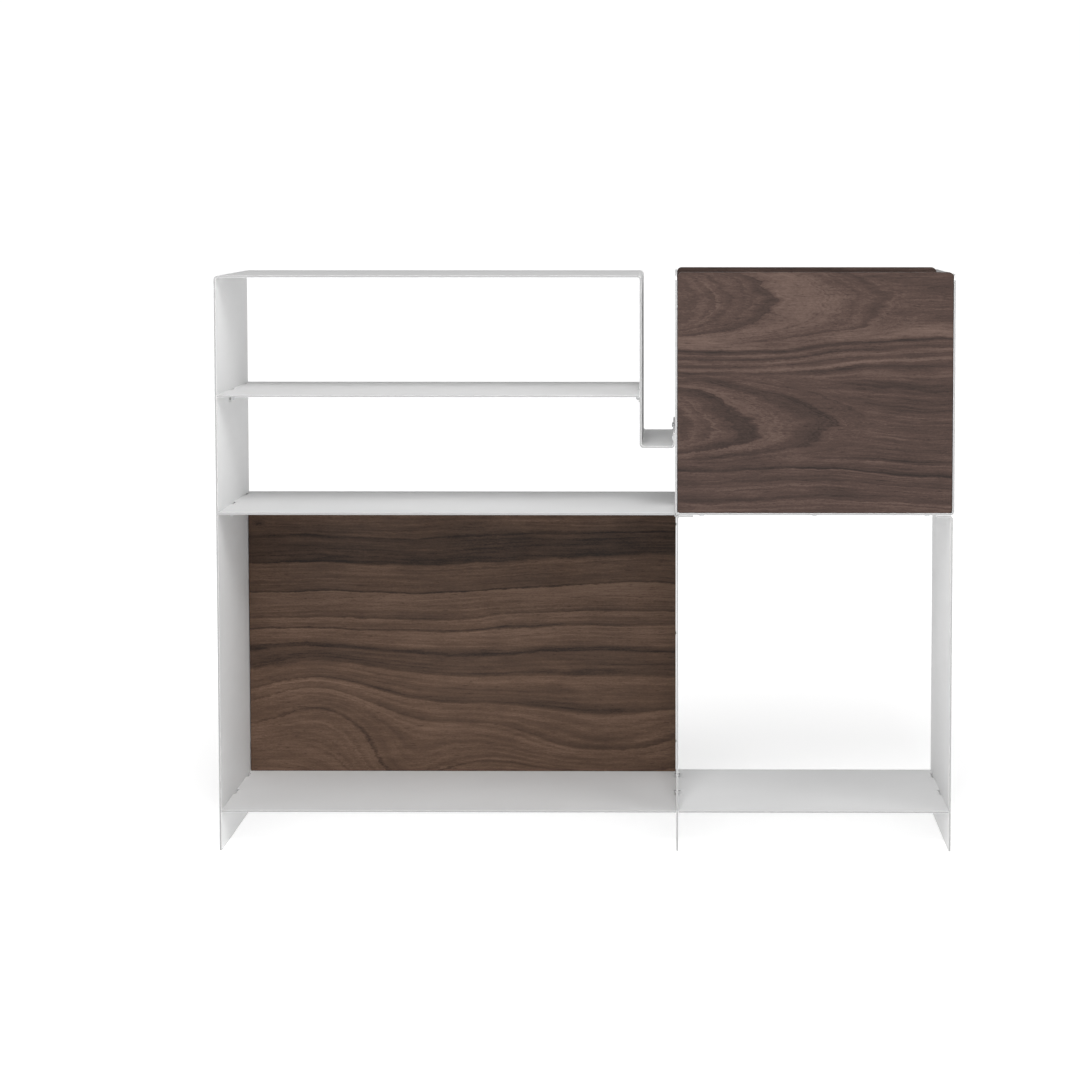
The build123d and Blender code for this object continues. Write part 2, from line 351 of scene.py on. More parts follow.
class Wiring:
    """A node tree with short calls for adding and joining nodes."""

    def __init__(self, tree: Tree) -> None:
        """Start wiring a tree."""
        self.tree = tree

    def add(self, kind: str, **settings: object) -> Node:
        """Add a node and set its properties."""
        node = self.tree.nodes.new(kind)
        for name, value in settings.items():
            setattr(node, name, value)
        return node

    def feed(self, socket: Socket, value: object) -> None:
        """Join a socket or set a plain value."""
        if isinstance(value, Socket):
            self.tree.links.new(value, socket)
        elif value is not None:
            socket.default_value = value

    def fill(self, sockets: object, **values: object) -> None:
        """Join or set named sockets. An underscore stands for a space."""
        for name, value in values.items():
            self.feed(sockets[name.replace("_", " ")], value)

    def math(self, operation: str, a: object, b: object = None, clamp: bool = False) -> Socket:
        """One Math node."""
        node = self.add("ShaderNodeMath", operation=operation, use_clamp=clamp)
        self.feed(node.inputs[0], a)
        self.feed(node.inputs[1], b)
        return node.outputs[0]

    def plus(self, a: object, b: object) -> Socket:
        """Add two numbers."""
        return self.math("ADD", a, b)

    def times(self, a: object, b: object) -> Socket:
        """Multiply two numbers."""
        return self.math("MULTIPLY", a, b)

    def centred(self, value: object) -> Socket:
        """Move a value from 0 to 1 so that its middle is 0."""
        return self.math("SUBTRACT", value, 0.5)

    def vector(self, operation: str, a: object, b: object = None) -> Socket:
        """One Vector Math node."""
        node = self.add("ShaderNodeVectorMath", operation=operation)
        self.feed(node.inputs[0], a)
        self.feed(node.inputs[1], b)
        return node.outputs["Value" if operation in ("DOT_PRODUCT", "LENGTH") else "Vector"]

    def parts(self, vector: Socket) -> list[Socket]:
        """The X, Y and Z of a vector."""
        node = self.add("ShaderNodeSeparateXYZ")
        self.feed(node.inputs[0], vector)
        return list(node.outputs)

    def made_of(self, x: object, y: object, z: object) -> Socket:
        """A vector from three numbers."""
        node = self.add("ShaderNodeCombineXYZ")
        for socket, value in zip(node.inputs, (x, y, z)):
            self.feed(socket, value)
        return node.outputs[0]

    def grey(self, value: object) -> Socket:
        """A vector of one number three times."""
        return self.made_of(value, value, value)

    def rim(self) -> Socket:
        """The rim attribute, 1 on rounded and cut edges."""
        return self.add("ShaderNodeAttribute", attribute_name="rim").outputs["Fac"]

    def noise(self, place: object, scale: object, detail: float = 2.0, roughness: float = 0.5) -> Socket:
        """A noise value from 0 to 1."""
        node = self.add("ShaderNodeTexNoise")
        self.feed(node.inputs["Vector"], place)
        self.feed(node.inputs["Scale"], scale)
        node.inputs["Detail"].default_value = detail
        node.inputs["Roughness"].default_value = roughness
        return node.outputs["Fac"]

    def stretched(self, place: object, stretch: object, scale: object, detail: float = 2.0,
                  roughness: float = 0.5) -> Socket:
        """A noise value from 0 to 1 in a stretched space."""
        return self.noise(self.vector("MULTIPLY", place, stretch), scale, detail, roughness)

    def ranged(self, value: object, low: float, high: float, new_low: float, new_high: float) -> Socket:
        """Map one range to another, held at its ends."""
        node = self.add("ShaderNodeMapRange")
        for socket, number in zip(node.inputs, (value, low, high, new_low, new_high)):
            self.feed(socket, number)
        return node.outputs[0]

    def ramp(self, value: object, stops: list[tuple[float, object]]) -> Socket:
        """A colour ramp. A stop's colour is a grey level or three numbers."""
        node = self.add("ShaderNodeValToRGB")
        self.feed(node.inputs[0], value)
        elements = node.color_ramp.elements
        while len(elements) < len(stops):
            elements.new(0.5)
        for element, (position, colour) in zip(elements, sorted(stops, key=lambda stop: stop[0])):
            element.position = position
            element.color = (*colour, 1.0) if isinstance(colour, tuple) else (colour, colour, colour, 1.0)
        return node.outputs["Color"]

    def blended(self, mask: object, a: object, b: object, mode: str = "MIX") -> Socket:
        """Mix two colours."""
        node = self.add("ShaderNodeMix", data_type="RGBA", blend_type=mode)
        self.feed(node.inputs["Factor"], mask)
        self.feed(node.inputs[6], a)
        self.feed(node.inputs[7], b)
        return node.outputs[2]

    def use(self, group: str, **values: object) -> Node:
        """Place a shader group, with values for its named inputs."""
        node = self.add("ShaderNodeGroup", node_tree=ShaderGroup.made[group])
        self.fill(node.inputs, **values)
        return node


class ShaderGroup:
    """A shader node group that is built once and placed in many materials."""

    made: dict[str, Tree] = {}

    def __init__(self, name: str, inputs: dict[str, object], outputs: dict[str, str]) -> None:
        """Make an empty group.

        Args:
            name: The group's name.
            inputs: Default value of each named input: a number, or three numbers for a vector.
            outputs: Float, Vector or Color for each named output.
        """
        self.tree = bpy.data.node_groups.new(name, "ShaderNodeTree")
        for label, value in inputs.items():
            kind = "NodeSocketVector" if isinstance(value, tuple) else "NodeSocketFloat"
            socket = self.tree.interface.new_socket(label, in_out="INPUT", socket_type=kind)
            socket.default_value = value
        for label, kind in outputs.items():
            self.tree.interface.new_socket(label, in_out="OUTPUT", socket_type=f"NodeSocket{kind}")
        self.wiring = Wiring(self.tree)
        self.source = self.wiring.add("NodeGroupInput").outputs
        self.sink = self.wiring.add("NodeGroupOutput").inputs
        ShaderGroup.made[name] = self.tree

    def give(self, **values: Socket) -> Tree:
        """Join the outputs and return the finished group."""
        self.wiring.fill(self.sink, **values)
        return self.tree


def hill_group() -> Tree:
    """Group that lifts the growth-ring height round one centre, so that the rings run round it."""
    group = ShaderGroup("ring_hill", {"Place": (0, 0, 0), "Height": 0.0, "Centre": (0, 0, 0),
                                      "Reach": (1, 1, 1), "Lift": 0.0}, {"Height": "Float"})
    w, source = group.wiring, group.source
    away = w.vector("DIVIDE", w.vector("SUBTRACT", source["Place"], source["Centre"]), source["Reach"])
    fall = w.math("EXPONENT", w.times(w.vector("DOT_PRODUCT", away, away), -1.0))
    return group.give(Height=w.plus(source["Height"], w.times(fall, source["Lift"])))


def crown_group() -> Tree:
    """Group for nested crowns that point along the grain, and the soft patch of the board that they fill."""
    group = ShaderGroup("ring_crown", {"Place": (0, 0, 0), "Apex": 0.5, "Above": 10.0, "Below": 10.0,
                                       "Centre": (0, 0, 0), "Reach": (1, 1, 1)},
                        {"Height": "Float", "Patch": "Float"})
    w, source = group.wiring, group.source
    along, _, down = w.parts(source["Place"])
    fingers = w.stretched(source["Place"], (3.0, 1.0, 15.0), 1.0, 5.0, 0.62)
    along = w.plus(along, w.times(w.centred(fingers), 0.24))
    off = w.math("SUBTRACT", down, source["Apex"])
    above = w.math("POWER", w.math("MAXIMUM", w.times(off, -1.0), 0.0), 2.5)
    below = w.math("POWER", w.math("MAXIMUM", off, 0.0), 2.5)
    spread = w.plus(w.times(above, source["Above"]), w.times(below, source["Below"]))
    away = w.vector("DIVIDE", w.vector("SUBTRACT", source["Place"], source["Centre"]), source["Reach"])
    near = w.vector("DOT_PRODUCT", away, away)
    torn = w.stretched(source["Place"], (9.0, 1.0, 60.0), 1.0, 4.0, 0.65)
    patch = w.ranged(w.plus(near, w.times(torn, 1.4)), 1.35, 2.05, 1.0, 0.0)
    return group.give(Height=w.plus(along, spread), Patch=patch)


def fine_ring_group() -> Tree:
    """Group for the fine lines inside the growth rings, which follow the ring height."""
    group = ShaderGroup("fine_rings", {"Place": (0, 0, 0), "Height": 0.0, "Count": 120.0}, {"Line": "Float"})
    w, source = group.wiring, group.source
    along = w.times(w.parts(source["Place"])[0], 2.2)
    spot = w.made_of(along, 0.0, w.times(source["Height"], source["Count"]))
    return group.give(Line=w.centred(w.noise(spot, 1.0, 5.0, 0.65)))


def drift_group() -> Tree:
    """Group that makes ring lines wander and fray a little, as hand-sawn grain does."""
    group = ShaderGroup("grain_drift", {"Place": (0, 0, 0), "Wander": 0.01, "Fray": 0.003},
                        {"Place": "Vector"})
    w, source = group.wiring, group.source
    slow = w.stretched(source["Place"], (2.2, 1.0, 4.0), 1.6, 3.0)
    quick = w.stretched(source["Place"], (28.0, 4.0, 90.0), 1.7, 4.0, 0.65)
    down = w.plus(w.times(w.centred(slow), source["Wander"]),
                  w.times(w.centred(quick), source["Fray"]))
    along = w.times(w.centred(quick), w.times(source["Fray"], 4.0))
    return group.give(Place=w.vector("ADD", source["Place"], w.made_of(along, 0.0, down)))


def fibre_group() -> Tree:
    """Group for walnut's fibres and open pores: long thin streaks along X, in metres."""
    group = ShaderGroup("walnut_fibre", {"Place": (0, 0, 0)},
                        {"Streak": "Float", "Pore": "Float", "Mottle": "Float"})
    w, place = group.wiring, group.source["Place"]
    streak = w.stretched(place, (26.0, 260.0, 300.0), 1.0, 5.0, 0.7)
    fine = w.stretched(place, (240.0, 700.0, 760.0), 1.0, 4.0, 0.7)
    pore = w.ranged(w.stretched(place, (75.0, 480.0, 520.0), 1.0, 3.0), 0.60, 0.72, 0.0, 1.0)
    mottle = w.stretched(place, (9.0, 20.0, 26.0), 1.0, 4.0, 0.6)
    return group.give(Streak=w.plus(w.times(streak, 0.5), w.times(fine, 0.5)),
                      Pore=pore, Mottle=mottle)


def dust_group() -> Tree:
    """Group for the faint unevenness that handling and dust leave on any surface, in metres."""
    group = ShaderGroup("soft_dust", {"Place": (0, 0, 0), "Spread": 6.0}, {"Dust": "Float", "Smear": "Float"})
    w, source = group.wiring, group.source
    dust = w.ranged(w.noise(source["Place"], source["Spread"], 5.0, 0.6), 0.35, 0.7, 0.0, 1.0)
    smear = w.stretched(source["Place"], (1.0, 1.0, 6.0), w.times(source["Spread"], 2.5))
    return group.give(Dust=dust, Smear=smear)


def speckle_group() -> Tree:
    """Group for a fine grainy relief, such as powder coat or moulded nylon, in metres."""
    group = ShaderGroup("fine_relief", {"Place": (0, 0, 0), "Grain": 900.0}, {"Relief": "Float"})
    w, source = group.wiring, group.source
    peel = w.noise(source["Place"], source["Grain"], 2.0, 0.5)
    sand = w.noise(source["Place"], w.times(source["Grain"], 3.3), 2.0, 0.6)
    return group.give(Relief=w.plus(w.times(peel, 0.7), w.times(sand, 0.3)))


# ---- Finishes ----


def started(name: str) -> tuple[Material, Wiring, Node, Socket]:
    """A new material with its wiring, its Principled BSDF and the Object coordinates."""
    material = bpy.data.materials.new(name)
    material.use_nodes = True
    wiring = Wiring(material.node_tree)
    shader = next(node for node in material.node_tree.nodes if node.type == "BSDF_PRINCIPLED")
    place = wiring.add("ShaderNodeTexCoord").outputs["Object"]
    return material, wiring, shader, place


def bumped(w: Wiring, shader: Node, height: Socket, distance: float, strength: float) -> None:
    """Give a shader a bump from a height map."""
    bump = w.add("ShaderNodeBump")
    w.fill(bump.inputs, Distance=distance, Strength=strength, Height=height)
    w.feed(shader.inputs["Normal"], bump.outputs[0])


@dataclass(frozen=True)
class PowderCoat:
    """Fine-textured pale powder coat on steel, with darker painted shade on its rounded and cut edges."""

    name: str = "powder_coat"
    tint: Colour = (0.71, 0.71, 0.71)
    rim_painted_shade: Colour = (0.35, 0.35, 0.35)
    roughness: float = 0.60
    grain: float = 950.0

    def material(self) -> Material:
        """Build the material."""
        material, w, shader, place = started(self.name)
        dust = w.use("soft_dust", Place=place, Spread=5.0)
        relief = w.use("fine_relief", Place=place, Grain=self.grain)
        # Painted shade: rounded and cut edges take a darker colour in place of the dimmer light that falls on
        # them.
        base = w.blended(w.rim(), (*self.tint, 1), (*self.rim_painted_shade, 1))
        shade = w.ranged(dust.outputs["Dust"], 0.0, 1.0, 1.0, 0.975)
        speck = w.ranged(relief.outputs["Relief"], 0.3, 0.7, 0.985, 1.015)
        dull, duller = self.roughness - 0.05, self.roughness + 0.06
        w.fill(shader.inputs, Base_Color=w.vector("MULTIPLY", base, w.grey(w.times(shade, speck))),
               Roughness=w.ranged(dust.outputs["Smear"], 0.3, 0.7, dull, duller), Specular_IOR_Level=0.25)
        bumped(w, shader, relief.outputs["Relief"], 0.06 * MM, 0.5)
        return material


@dataclass(frozen=True)
class Hill:
    """One swelling of the rings: where it is on the board, how far it reaches and how much it lifts them."""

    across: float
    down: float
    reach_across: float
    reach_down: float
    lift: float


@dataclass(frozen=True)
class Crown:
    """Nested crowns that point along the grain: where their tips lie, how they open and what they fill."""

    apex: float
    above: float
    below: float
    across: float
    down: float
    reach_across: float
    reach_down: float
    bands: Bands
    contrast: float = 0.78

    def soft_bands(self) -> Bands:
        """The bands with their tones drawn in towards the middle one."""
        return tuple((place, 0.5 + (tone - 0.5) * self.contrast) for place, tone in self.bands)


@dataclass(frozen=True)
class Walnut:
    """Oiled walnut, with a painted highlight on its rounded edges. Bands are ring places and tones, from the
    board's top edge to its bottom edge.
    """

    name: str
    node: str
    hills: tuple[Hill, ...]
    bands: Bands
    crowns: tuple[Crown, ...] = ()
    dark: Colour = (0.014, 0.0065, 0.0038)
    middle: Colour = (0.086, 0.049, 0.031)
    light: Colour = (0.190, 0.118, 0.082)
    rim_painted_highlight: float = 1.35
    streak: float = 1.0
    ring_lines: float = 1.3
    wander: float = 0.05
    fray: float = 0.011

    def material(self) -> Material:
        """Build the material for one board, with its figure placed by the board's own box."""
        material, w, shader, place = started(self.name)
        low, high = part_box(self.node)
        size = high - low
        mapping = w.add("ShaderNodeMapping", vector_type="POINT")
        mapping.inputs["Location"].default_value = (-low.x / size.x, 0.0, high.z / size.z)
        mapping.inputs["Scale"].default_value = (1 / size.x, 1.0, -1 / size.z)
        w.feed(mapping.inputs["Vector"], place)
        drift = w.use("grain_drift", Place=mapping.outputs[0], Wander=self.wander, Fray=self.fray)
        spot = drift.outputs[0]
        height = w.parts(spot)[2]
        for hill in self.hills:
            height = w.use("ring_hill", Place=spot, Height=height, Centre=(hill.across, 0.0, hill.down),
                           Reach=(hill.reach_across, NO_LIMIT, hill.reach_down), Lift=hill.lift).outputs[0]
        tone = self.toned(w, spot, height, self.bands, 120.0)
        for crown in self.crowns:
            node = w.use("ring_crown", Place=spot, Apex=crown.apex, Above=crown.above,
                         Below=crown.below, Centre=(crown.across, 0.0, crown.down),
                         Reach=(crown.reach_across, NO_LIMIT, crown.reach_down))
            inside = self.toned(w, spot, node.outputs["Height"], crown.soft_bands(), 60.0)
            tone = w.blended(node.outputs["Patch"], tone, inside)
        fibre = w.use("walnut_fibre", Place=place)
        streaks = w.times(w.centred(fibre.outputs["Streak"]), self.streak)
        mottle = w.times(w.centred(fibre.outputs["Mottle"]), 0.45)
        level = w.math("ADD", tone, w.plus(streaks, mottle), clamp=True)
        colour = w.ramp(level, [(0.0, self.dark), (0.5, self.middle), (1.0, self.light)])
        pores = w.times(fibre.outputs["Pore"], 0.45)
        colour = w.blended(pores, colour, (*self.dark, 1))
        # Painted highlight: rounded edges are lightened, as if catching light from above.
        lift = w.ranged(w.rim(), 0.0, 1.0, 1.0, self.rim_painted_highlight)
        dust = w.use("soft_dust", Place=place, Spread=9.0)
        rough = w.ranged(dust.outputs["Dust"], 0.0, 1.0, 0.46, 0.58)
        w.fill(shader.inputs, Base_Color=w.vector("MULTIPLY", colour, w.grey(lift)),
               Roughness=w.plus(rough, w.times(fibre.outputs["Pore"], 0.15)), Specular_IOR_Level=0.22)
        relief = w.math("SUBTRACT", fibre.outputs["Streak"], fibre.outputs["Pore"])
        bumped(w, shader, relief, 0.12 * MM, 0.45)
        return material

    def toned(self, w: Wiring, spot: Socket, height: Socket, bands: Bands,
              count: float) -> Socket:
        """Tone of the rings at a height, with the fine lines that follow them."""
        fine = w.use("fine_rings", Place=spot, Height=height, Count=count)
        lines = w.times(fine.outputs["Line"], self.ring_lines)
        return w.plus(w.ramp(height, list(bands)), lines)


@dataclass(frozen=True)
class ZincPlate:
    """Bright zinc plate on screws and nuts."""

    name: str = "zinc_plate"
    tint: Colour = (0.78, 0.79, 0.80)
    dull: Colour = (0.58, 0.58, 0.59)

    def material(self) -> Material:
        """Build the material."""
        material, w, shader, place = started(self.name)
        dust = w.use("soft_dust", Place=place, Spread=260.0)
        relief = w.use("fine_relief", Place=place, Grain=2500.0)
        w.fill(shader.inputs, Base_Color=w.blended(dust.outputs["Dust"], (*self.tint, 1), (*self.dull, 1)),
               Roughness=w.ranged(dust.outputs["Smear"], 0.3, 0.7, 0.36, 0.52), Metallic=0.7)
        bumped(w, shader, relief.outputs["Relief"], 0.02 * MM, 0.4)
        return material


@dataclass(frozen=True)
class Nylon:
    """Off-white moulded nylon of the floor strips."""

    name: str = "moulded_nylon"
    tint: Colour = (0.62, 0.62, 0.60)
    scuffed: Colour = (0.40, 0.39, 0.37)

    def material(self) -> Material:
        """Build the material."""
        material, w, shader, place = started(self.name)
        dust = w.use("soft_dust", Place=place, Spread=90.0)
        relief = w.use("fine_relief", Place=place, Grain=1600.0)
        worn = w.times(dust.outputs["Dust"], w.ranged(w.rim(), 0.0, 1.0, 0.4, 0.9))
        w.fill(shader.inputs, Base_Color=w.blended(worn, (*self.tint, 1), (*self.scuffed, 1)),
               Roughness=w.ranged(dust.outputs["Smear"], 0.3, 0.7, 0.45, 0.65), Subsurface_Weight=0.05)
        bumped(w, shader, relief.outputs["Relief"], 0.05 * MM, 0.4)
        return material


# ---- Pieces ----


def finished(piece: Piece, material: Material, slot: Slot, *nodes: str) -> None:
    """Dress a piece, ride it on the unit's body and let it stand for its CAD nodes."""
    settle(piece)
    rims(piece, slot is Slot.STEEL)
    shaded(piece)
    piece.data.materials.clear()
    piece.data.materials.append(material)
    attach(piece, ROOT_BODY)
    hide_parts(*nodes)
    log.info("%s: %d faces, stands for %s", piece.name, len(piece.data.polygons), ", ".join(nodes))


def grid(node: str, inset: float, inset_x: float = 0.0) -> list[Vector]:
    """Places of equal fasteners, spread evenly over their CAD node's box.

    Args:
        node: The fasteners' CAD node, whose numbers are in COUNTS. One means the box's middle.
        inset: How far in from the front, rear, top and bottom the outer ones are.
        inset_x: How far in from the left and right the outer ones are.

    Returns:
        One point for each fastener.
    """
    low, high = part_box(node)
    lines = []
    for start, end, count, step in zip(low, high, COUNTS[node], (inset_x, inset, inset)):
        if count == 1:
            lines.append([(start + end) / 2])
        else:
            span = end - step - (start + step)
            lines.append([start + step + span * i / (count - 1) for i in range(count)])
    return [Vector(point) for point in itertools.product(*lines)]


def placed(point: Vector, facing: Facing) -> Matrix:
    """A place in the unit for something modelled upright."""
    about_x, about_y = facing.value
    return Matrix.Translation(point) @ Matrix.Rotation(about_x, 4, "X") @ Matrix.Rotation(about_y, 4, "Y")


@dataclass
class Stock:
    """Sheet, folds and screws that every steel piece shares."""

    sheet: float = 3.0 * MM
    bend_inside: float = 3.0 * MM
    edge: float = 0.35 * MM
    bend_steps: int = 10
    m4: float = 2.0 * MM
    m5: float = 2.5 * MM
    head_ratio: float = 2.0
    nut_ratio: float = 1.6
    clearance: float = 0.12 * MM
    hole_steps: int = 32

    @property
    def head(self) -> float:
        """Radius of an M4 head."""
        return self.m4 * self.head_ratio

    @property
    def bend_middle(self) -> float:
        """Radius of a fold's middle line."""
        return self.bend_inside + self.sheet / 2

    def thicken(self, piece: Piece) -> None:
        """Give a middle surface the sheet's thickness and eased edges."""
        modified(piece, "SOLIDIFY", thickness=self.sheet, offset=0.0, use_even_offset=True)
        outward(piece)
        eased(piece, self.edge)

    def countersink(self, shank: float, point: Vector, facing: Facing) -> Piece:
        """A tool that cuts a countersunk hole through the outer sheet."""
        head = shank * self.head_ratio
        gap = self.clearance
        profile = [(shank + gap, -2 * self.sheet), (shank + gap, shank - head),
                   (head + gap, 0.0), (head + gap, FLUSH)]
        tool = turned("countersink", profile, self.hole_steps)
        tool.data.transform(placed(point, facing))
        return tool

    def drill(self, shank: float, point: Vector, facing: Facing) -> Piece:
        """A tool that cuts a plain hole through the sheet."""
        radius = shank + 2 * self.clearance
        tool = prism("drill", radius, -2 * self.sheet, 2 * self.sheet, self.hole_steps)
        tool.data.transform(placed(point, facing))
        return tool


@dataclass
class FoldedSheet:
    """A steel sheet folded along lines that run from front to back."""

    name: str
    stock: Stock
    points: list[Point]
    front: float
    rear: float
    corner: float = 0.0
    tools: list[Piece] = field(default_factory=list)

    def surface(self) -> Piece:
        """Draw the middle surface, flat by flat, and round its folds."""
        (x0, z0), (x1, z1) = self.points[:2]
        bpy.ops.mesh.primitive_plane_add(size=1)
        piece = added(self.name)
        start, step = Vector((x0, 0, z0)), Vector((x1 - x0, 0, z1 - z0))
        width = self.rear - self.front
        along = step.normalized()
        frame = Matrix((along, Vector((0, 1, 0)), along.cross(Vector((0, 1, 0))))).transposed().to_4x4()
        scale = Matrix.Diagonal((step.length, width, 1, 1))
        middle = start + step / 2 + Vector((0, (self.front + self.rear) / 2, 0))
        piece.data.transform(Matrix.Translation(middle) @ frame @ scale)
        tip = Vector((x1, 0, z1))
        for (xa, za), (xb, zb) in itertools.pairwise(self.points[1:]):
            pick(piece, Part.EDGE, lambda at, way: endways(way) and near(at, tip))
            extrude(Vector((xb - xa, 0, zb - za)))
            leave()
            tip = Vector((xb, 0, zb))
        folds = [Vector((x, 0, z)) for x, z in self.points[1:-1]]
        pick(piece, Part.EDGE, lambda at, way: endways(way) and any(near(at, fold) for fold in folds))
        rounded(self.stock.bend_middle, self.stock.bend_steps)
        return piece

    def build(self) -> Piece:
        """Fold, round, thicken, ease and drill the sheet."""
        piece = self.surface()
        if self.corner:
            top = max(z for _, z in self.points)
            pick(piece, Part.VERT, lambda at, _: same(at.z, top))
            rounded(self.corner, 10, "VERTICES")
        self.stock.thicken(piece)
        for tool in self.tools:
            carved(piece, tool)
        return piece


@dataclass
class TabbedShelf:
    """A flat shelf with two folded-down tabs at each end, which screw to the panels beside it."""

    name: str
    node: str
    stock: Stock
    tab_ys: list[float]
    plain_right: float | None = None
    tab_width: float = 30.0 * MM
    relief: float = 1.5 * MM
    tab_corner: float = 3.0 * MM

    def build(self) -> Piece:
        """Cut the plate's outline, fold the tabs down, thicken and ease."""
        low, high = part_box(self.node)
        half = self.stock.sheet / 2
        level = high.z - half
        folds = (low.x + half, high.x - half)
        plain = (low.x, high.x if self.plain_right is None else self.plain_right)
        notches = (low.x + self.stock.bend_inside + 2 * self.stock.sheet,
                   high.x - self.stock.bend_inside - 2 * self.stock.sheet)
        ends = (min(folds[0], plain[0]), max(folds[1], plain[1]))
        bpy.ops.mesh.primitive_plane_add(size=1, location=((ends[0] + ends[1]) / 2, 0, level))
        piece = added(self.name)
        piece.scale = (ends[1] - ends[0], high.y - low.y, 1)
        settle(piece)
        for x in sorted({*folds, *plain, *notches}):
            if ends[0] < x < ends[1]:
                self.score(piece, Vector((x, 0, level)), Vector((1, 0, 0)))
        for y in self.tab_ys:
            for reach in (self.tab_width / 2, self.tab_width / 2 + self.relief):
                for side in (-1, 1):
                    self.score(piece, Vector((0, y + side * reach, level)), Vector((0, 1, 0)))
        pick(piece, Part.FACE, lambda at, _: self.waste(at, folds, plain, notches))
        bpy.ops.mesh.delete(type="FACE")
        leave()
        drop = Vector((0, 0, low.z - level))
        pick(piece, Part.EDGE, lambda at, way: endways(way) and self.on_fold(at, folds))
        extrude(drop)
        leave()
        pick(piece, Part.VERT, lambda at, _: same(at.z, low.z))
        rounded(self.tab_corner, 5, "VERTICES")
        pick(piece, Part.EDGE, lambda at, way: endways(way) and self.on_fold(at, folds) and same(at.z, level))
        rounded(self.stock.bend_middle, self.stock.bend_steps)
        self.stock.thicken(piece)
        return piece

    def score(self, piece: Piece, point: Vector, normal: Vector) -> None:
        """Divide the plate along a line."""
        everything(piece)
        bpy.ops.mesh.bisect(plane_co=point, plane_no=normal)
        leave()

    def on_tab(self, y: float) -> bool:
        """Whether a line from front to back crosses a tab."""
        return any(abs(y - tab) < self.tab_width / 2 for tab in self.tab_ys)

    def on_fold(self, at: Vector, folds: Point) -> bool:
        """Whether a point lies on a tab's fold line."""
        return self.on_tab(at.y) and any(same(at.x, fold) for fold in folds)

    def in_relief(self, y: float) -> bool:
        """Whether a line from front to back crosses a tab or the relief slots beside it."""
        return any(abs(y - tab) < self.tab_width / 2 + self.relief for tab in self.tab_ys)

    def waste(self, at: Vector, folds: Point, plain: Point, notches: Point) -> bool:
        """Whether a face of the scored plate is cut away."""
        if self.on_tab(at.y):
            return at.x < folds[0] or at.x > folds[1]
        if self.in_relief(at.y):
            return at.x < notches[0] or at.x > notches[1]
        return at.x < plain[0] or at.x > plain[1]


@dataclass
class Board:
    """A walnut board with rounded corners and eased edges."""

    name: str
    top_corner: float = 0.0
    bottom_corner: float = 0.0
    edge: float = 0.8 * MM

    def build(self) -> Piece:
        """Cut the board to its box, round its corners and ease its edges."""
        low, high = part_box(self.name)
        piece = block(f"{self.name}_walnut", low, high)
        for level, radius in ((high.z, self.top_corner), (low.z, self.bottom_corner)):
            if radius:
                pick(piece, Part.EDGE, lambda at, way: endways(way) and same(at.z, level))
                rounded(radius, 12)
        eased(piece, self.edge, 4)
        return piece


@dataclass
class Fasteners:
    """Patterns of the screws and nuts."""

    stock: Stock
    steps: int = 24
    pitch: float = 0.7 * MM
    thread_depth: float = 0.3 * MM
    lead_in: float = 0.4 * MM
    plain_neck: float = 0.6 * MM
    end_ratio: float = 0.8
    point_ratio: float = 0.1
    key_ratio: float = 1.24
    key_depth: float = 1.2 * MM
    flat_rim: tuple[Point, Point] = ((0.08 * MM, -0.12 * MM), (0.1 * MM, 0.0))
    pan_height: float = 2.3 * MM
    pan_rim: float = 0.35
    pan_crown: float = 0.58
    pan_steps: int = 5
    nut_chamfer: float = 0.13
    nut_rim: tuple[float, float, float] = (0.9, 1.01, 0.6)
    bore_gap: float = 0.04 * MM
    bore_lead: float = 0.3 * MM
    bore_ends: Point = (0.1 * MM, 0.4 * MM)

    def thread(self, shank: float, low: float, high: float) -> list[Point]:
        """Ridges of a thread, from low to high."""
        root = shank - self.thread_depth
        rings: list[Point] = []
        for turn in range(int((high - low) / self.pitch)):
            base = low + turn * self.pitch
            rings += [(root, base), (shank, base + self.pitch / 2)]
        return rings + [(shank, high)]

    def screw(self, shank: float, length: float, flat: bool, pointed: bool) -> Piece:
        """A screw that stands at the origin with its head up.

        Args:
            shank: Its shank's radius.
            length: From its seat, or its face if countersunk, to its end.
            flat: Countersunk, with its face at height 0, or else raised, with its seat at height 0.
            pointed: Whether it ends in a point.

        Returns:
            The screw.
        """
        head, end_radius = shank * self.stock.head_ratio, shank * self.end_ratio
        end = [(end_radius, -length)]
        if pointed:
            end = [(shank * self.point_ratio, -length), (end_radius, -length + 2 * shank)]
        neck = shank - head if flat else 0.0
        profile = end + self.thread(shank, end[-1][1] + self.lead_in, neck - self.plain_neck)
        if flat:
            profile += [(shank, neck), *((head - inset, height) for inset, height in self.flat_rim)]
        else:
            profile += [(shank, 0.0), (head, 0.0), (head, self.pan_height * self.pan_rim)]
            for turn in range(1, self.pan_steps + 1):
                angle = turn * QUARTER_TURN / self.pan_steps
                rise = self.pan_height * (self.pan_rim + (1 - self.pan_rim) * math.sin(angle))
                profile.append((head * (self.pan_crown + (1 - self.pan_crown) * math.cos(angle)), rise))
        piece = turned("screw", profile, self.steps)
        top = profile[-1][1]
        carved(piece, prism("key", shank * self.key_ratio, top - self.key_depth, top + FLUSH))
        return piece

    def nut(self, shank: float) -> Piece:
        """A hexagon nut with chamfered corners, which seats at height 0."""
        radius, height = 2 * shank, self.stock.nut_ratio * shank
        face, widest, slope = self.nut_rim
        rise = self.nut_chamfer * radius * slope
        piece = prism("nut", radius, 0.0, height)
        carved(piece, turned("round", [(radius * face, 0.0), (radius * widest, rise),
                                       (radius * widest, height - rise), (radius * face, height)],
                             2 * self.steps), "INTERSECT")
        bore = shank + self.bore_gap
        past, lead = self.bore_ends
        carved(piece, turned("bore", [(bore + self.bore_lead, -past), (bore, lead), (bore, height - lead),
                                      (bore + self.bore_lead, height + past)], self.steps))
        return piece


# ---- Sub-assemblies ----


